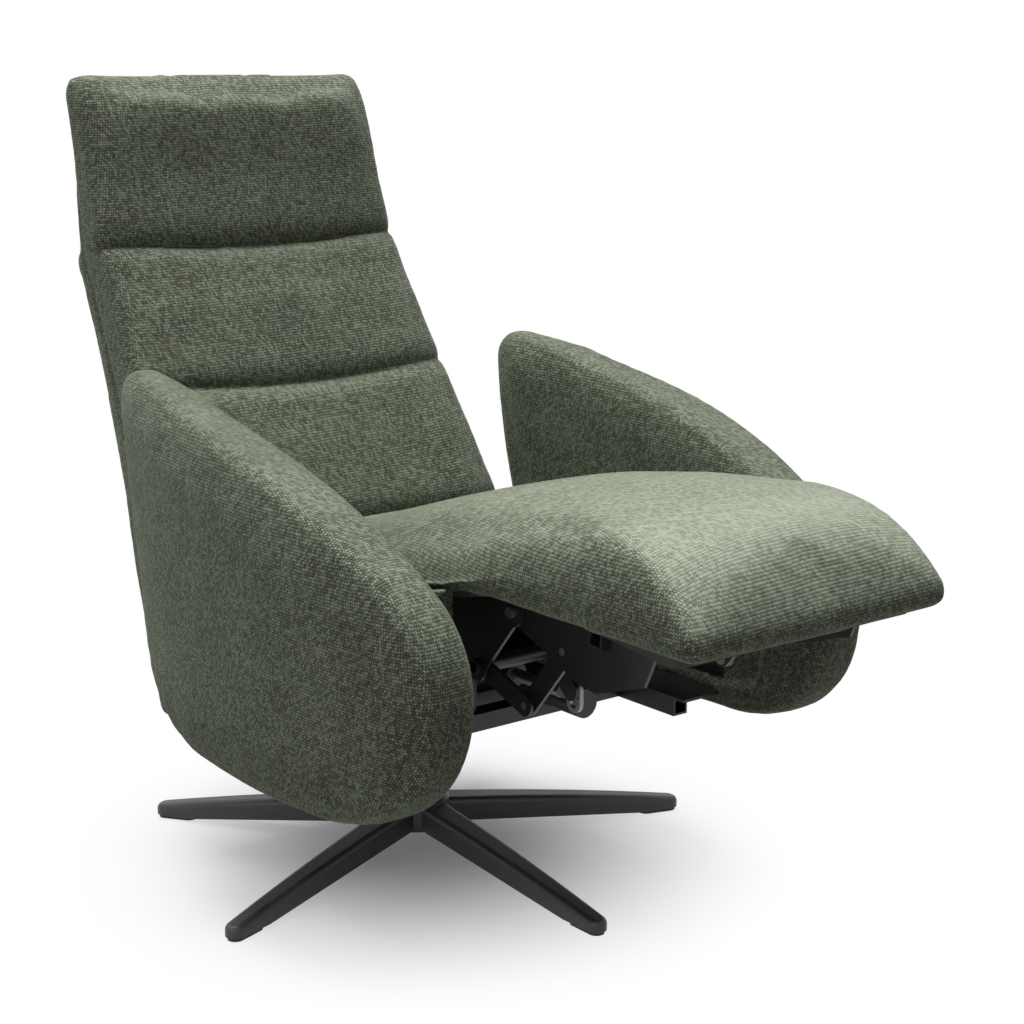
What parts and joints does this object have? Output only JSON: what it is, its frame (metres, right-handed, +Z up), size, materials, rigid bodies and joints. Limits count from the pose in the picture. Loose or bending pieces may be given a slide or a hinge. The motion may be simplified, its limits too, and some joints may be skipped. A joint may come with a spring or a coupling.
{
  "type": "swivel recliner chair",
  "caption": "Upholstered recliner on a black star base: swivelling seat between leaf-shaped arms, folding leg rest on open links, reclining back and tilting headrest.",
  "frame": {"origin": "point on the floor under the swivel axis", "axes": "+Z up; the sitter faces -Y and has +X on the left hand; stored with the leg rest out, the back upright and the headrest in line, as in the picture"},
  "size_m": [0.7812, 1.311, 1.0802],
  "materials": {
    "upholstery": "heathered sage green chenille",
    "matt_black_base": "fine-textured matt black powder coat",
    "black_steel": "matt black paint",
    "bright_steel": "zinc plated, dull",
    "glide_plastic": "matt",
    "bearing_plastic": "natural white",
    "black_board": "black faced plywood",
    "housing_plastic": "fine texture",
    "button_plastic": "satin"
  },
  "bodies": {
    "base": {"star_base": "matt_black_base", "floor_glides": "glide_plastic", "swivel_column": "matt_black_base", "swivel_bush": "bearing_plastic"},
    "carriage": {"swivel_spindle": "bright_steel", "top_plate": "black_steel", "front_cross_tube": "black_steel", "middle_cross_tube": "black_steel", "rear_cross_tube": "black_steel", "base_rails": "black_steel", "left_seat_plate": "black_steel", "right_seat_plate": "black_steel", "seat_deck": "black_board", "left_seat_rail": "upholstery", "right_seat_rail": "upholstery", "seat_cushion": "upholstery", "knee_pins": "bright_steel", "back_pivot_pins": "bright_steel", "leg_actuator_body": "housing_plastic", "back_actuator_body": "housing_plastic", "actuator_saddles": "black_steel", "battery_pack": "housing_plastic", "arm_brackets": "black_steel", "arm_bolts": "bright_steel", "left_arm_board": "black_board", "right_arm_board": "black_board", "left_arm_cushion": "upholstery", "right_arm_cushion": "upholstery", "switch_panel": "housing_plastic"},
    "footrest": {"left_footrest_bracket": "black_steel", "right_footrest_bracket": "black_steel", "footrest_crossbar": "black_steel", "footrest_board": "black_board", "footrest_cushion": "upholstery", "footrest_rivets": "bright_steel"},
    "footrest_crank": {"torque_tube": "black_steel", "left_crank_link": "black_steel", "right_crank_link": "black_steel", "crank_rivets": "bright_steel", "drive_ear": "black_steel"},
    "footrest_coupler": {"coupler_links": "black_steel"},
    "leg_rod": {"leg_actuator_rod": "bright_steel"},
    "back": {"back_shell": "upholstery", "lower_back_cushion": "upholstery", "middle_back_cushion": "upholstery", "left_back_hinge": "black_steel", "right_back_hinge": "black_steel", "back_lever": "black_steel", "headrest_lower_leaves": "black_steel", "headrest_hinge_pins": "bright_steel"},
    "back_rod": {"back_actuator_rod": "bright_steel"},
    "headrest": {"headrest_shell": "upholstery", "headrest_cushion": "upholstery", "headrest_upper_leaves": "black_steel"},
    "button_legs_out": {"legs_out_button": "button_plastic"},
    "button_legs_in": {"legs_in_button": "button_plastic"},
    "button_back_down": {"back_down_button": "button_plastic"},
    "button_back_up": {"back_up_button": "button_plastic"}
  },
  "joints": [
    {"name": "swivel", "type": "hinge", "parent": "base", "child": "carriage", "pos_m": [0, 0, 0.189], "axis": [0, 0, 1], "continuous": true},
    {"name": "footrest_fold", "type": "hinge", "parent": "carriage", "child": "footrest", "pos_m": [0, -0.44, 0.47], "axis": [1, 0, 0], "range_deg": [0, 88]},
    {"name": "crank_turn", "type": "hinge", "parent": "carriage", "child": "footrest_crank", "pos_m": [0, -0.37, 0.387], "axis": [1, 0, 0], "range_deg": [0, 88]},
    {"name": "coupler_turn", "type": "hinge", "parent": "footrest", "child": "footrest_coupler", "pos_m": [0, -0.525, 0.44], "axis": [1, 0, 0], "range_deg": [-88, 0]},
    {"name": "leg_rod_slide", "type": "slide", "parent": "carriage", "child": "leg_rod", "axis": [0, 1, 0], "range_m": [0, 0.08338]},
    {"name": "back_recline", "type": "hinge", "parent": "carriage", "child": "back", "pos_m": [0, 0.135, 0.36], "axis": [1, 0, 0], "range_deg": [-30, 0]},
    {"name": "back_rod_slide", "type": "slide", "parent": "carriage", "child": "back_rod", "axis": [0, 1, 0], "range_m": [-0.04335, 0]},
    {"name": "headrest_tilt", "type": "hinge", "parent": "back", "child": "headrest", "pos_m": [0, 0.43631, 0.83555], "axis": [1, 0, 0], "range_deg": [0, 25]},
    {"name": "legs_out_press", "type": "slide", "parent": "carriage", "child": "button_legs_out", "axis": [-1, 0, 0], "range_m": [0, 0.0015], "stiffness_N_per_m": 800, "springref_m": -0.001},
    {"name": "legs_in_press", "type": "slide", "parent": "carriage", "child": "button_legs_in", "axis": [-1, 0, 0], "range_m": [0, 0.0015], "stiffness_N_per_m": 800, "springref_m": -0.001},
    {"name": "back_down_press", "type": "slide", "parent": "carriage", "child": "button_back_down", "axis": [-1, 0, 0], "range_m": [0, 0.0015], "stiffness_N_per_m": 800, "springref_m": -0.001},
    {"name": "back_up_press", "type": "slide", "parent": "carriage", "child": "button_back_up", "axis": [-1, 0, 0], "range_m": [0, 0.0015], "stiffness_N_per_m": 800, "springref_m": -0.001}
  ],
  "couplings": [
    {"joint": "crank_turn", "follows": "footrest_fold", "ratio": 1},
    {"joint": "coupler_turn", "follows": "footrest_fold", "ratio": -1},
    {"joint": "leg_rod_slide", "follows": "footrest_fold", "m_per_rad": 0.054274},
    {"joint": "back_rod_slide", "follows": "back_recline", "m_per_rad": 0.082756}
  ]
}
